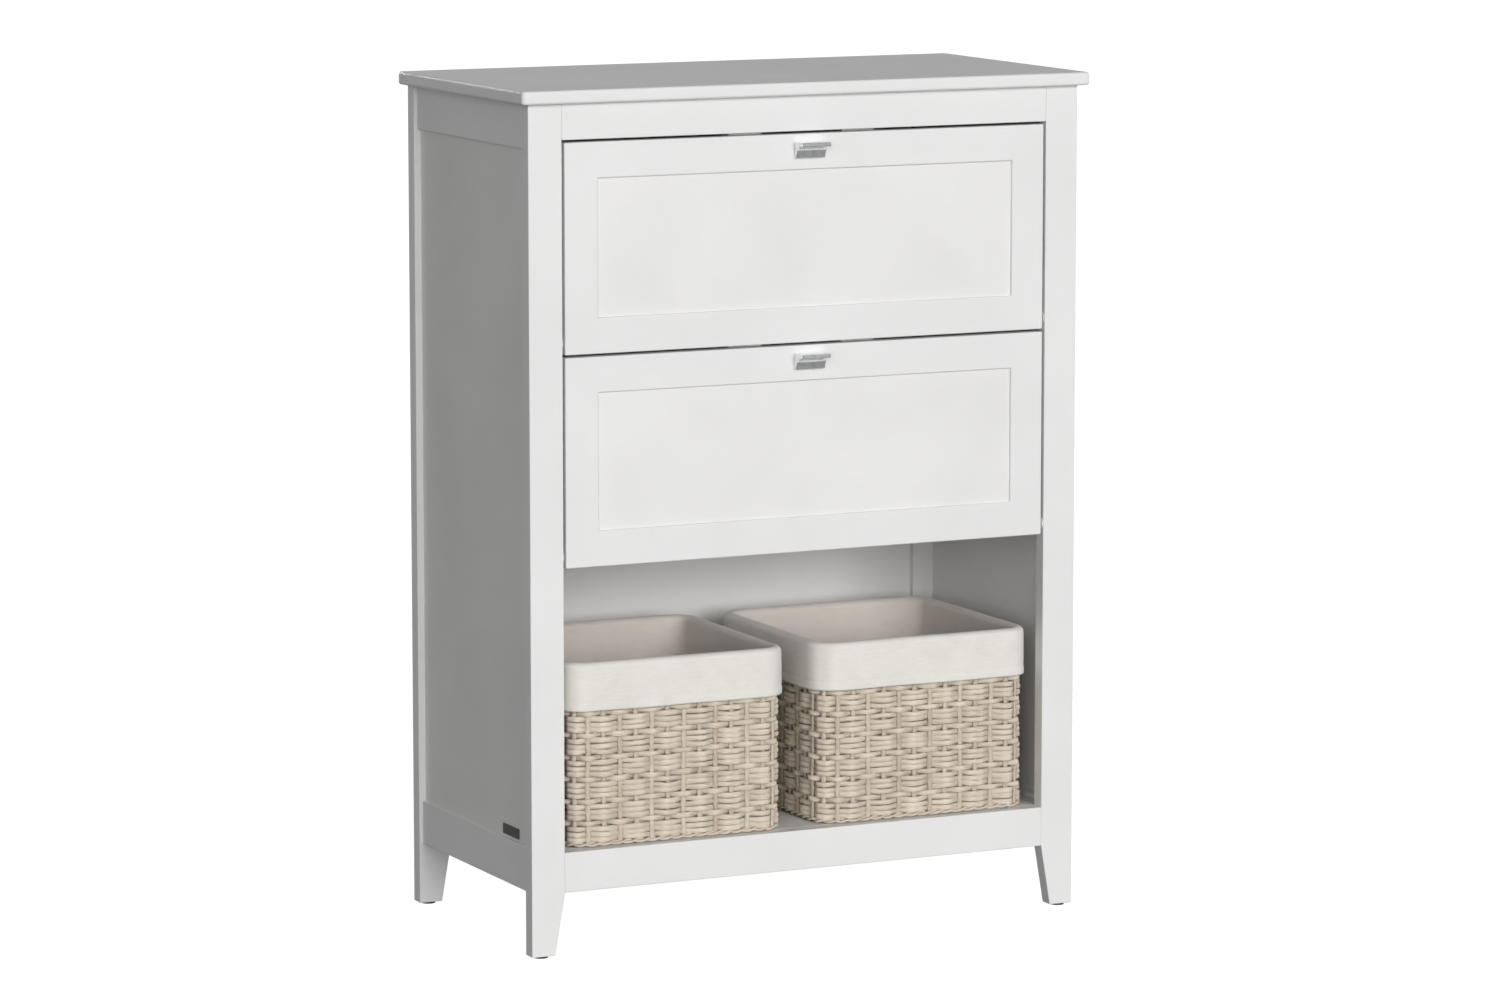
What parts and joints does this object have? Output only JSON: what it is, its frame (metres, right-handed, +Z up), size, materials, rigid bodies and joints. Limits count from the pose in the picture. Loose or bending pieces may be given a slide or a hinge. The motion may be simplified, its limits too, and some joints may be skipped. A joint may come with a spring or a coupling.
{
  "type": "shoe cabinet",
  "caption": "White shoe cabinet on tapered legs with two framed drop-front flaps over an open bay that holds two lined woven baskets.",
  "frame": {"origin": "on the floor, under the centre of the whole cabinet's box", "axes": "+Z up, -Y out of the front, +X to the cabinet's right as seen from the front"},
  "size_m": [0.7, 0.363, 0.96],
  "materials": {
    "white_lacquer": "white satin lacquer on board",
    "panel_lacquer": "white satin lacquer on thin board",
    "beech": "plain",
    "zinc_steel": "zinc plated",
    "magnet_steel": "nickel plated",
    "nylon": "moulded",
    "glide_plastic": "moulded",
    "chrome": "polished",
    "dark_plate": "blank",
    "seagrass": "natural woven seagrass",
    "linen": "plain woven cotton"
  },
  "bodies": {
    "cabinet": {"top_panel": "white_lacquer", "front_left_leg": "white_lacquer", "front_right_leg": "white_lacquer", "back_left_leg": "white_lacquer", "back_right_leg": "white_lacquer", "leg_glides": "glide_plastic", "left_side_panel": "panel_lacquer", "right_side_panel": "panel_lacquer", "left_top_rail": "white_lacquer", "right_top_rail": "white_lacquer", "left_low_rail": "white_lacquer", "right_low_rail": "white_lacquer", "front_top_rail": "white_lacquer", "front_low_rail": "white_lacquer", "back_top_rail": "white_lacquer", "back_low_rail": "white_lacquer", "back_panel": "panel_lacquer", "bay_floor": "white_lacquer", "bay_ceiling": "white_lacquer", "upper_shelf": "white_lacquer", "bay_floor_cleats": "white_lacquer", "bay_ceiling_cleats": "white_lacquer", "upper_shelf_cleats": "white_lacquer", "dowels": "beech", "shelf_screws": "zinc_steel", "hinge_bushes": "nylon", "stay_guides": "nylon", "upper_catches": "nylon", "lower_catches": "nylon", "catch_magnets": "magnet_steel", "blank_plate": "dark_plate"},
    "upper_flap": {"upper_flap_left_stile": "white_lacquer", "upper_flap_right_stile": "white_lacquer", "upper_flap_top_rail": "white_lacquer", "upper_flap_low_rail": "white_lacquer", "upper_flap_panel": "panel_lacquer", "upper_pull": "chrome", "upper_pull_screws": "zinc_steel", "upper_strikes": "magnet_steel", "upper_hinge_pins": "zinc_steel", "upper_stays": "zinc_steel"},
    "lower_flap": {"lower_flap_left_stile": "white_lacquer", "lower_flap_right_stile": "white_lacquer", "lower_flap_top_rail": "white_lacquer", "lower_flap_low_rail": "white_lacquer", "lower_flap_panel": "panel_lacquer", "lower_pull": "chrome", "lower_pull_screws": "zinc_steel", "lower_strikes": "magnet_steel", "lower_hinge_pins": "zinc_steel", "lower_stays": "zinc_steel"},
    "left_basket": {"left_basket_weave": "seagrass", "left_basket_liner": "linen"},
    "right_basket": {"right_basket_weave": "seagrass", "right_basket_liner": "linen"}
  },
  "joints": [
    {"name": "upper_flap_hinge", "type": "hinge", "parent": "cabinet", "child": "upper_flap", "pos_m": [0, -0.1535, 0.68163], "axis": [1, 0, 0], "range_deg": [0, 76]},
    {"name": "lower_flap_hinge", "type": "hinge", "parent": "cabinet", "child": "lower_flap", "pos_m": [0, -0.1535, 0.44613], "axis": [1, 0, 0], "range_deg": [0, 76]},
    {"name": "left_basket_slide", "type": "slide", "parent": "cabinet", "child": "left_basket", "axis": [0, -1, 0], "range_m": [0, 0.28]},
    {"name": "right_basket_slide", "type": "slide", "parent": "cabinet", "child": "right_basket", "axis": [0, -1, 0], "range_m": [0, 0.28]}
  ]
}
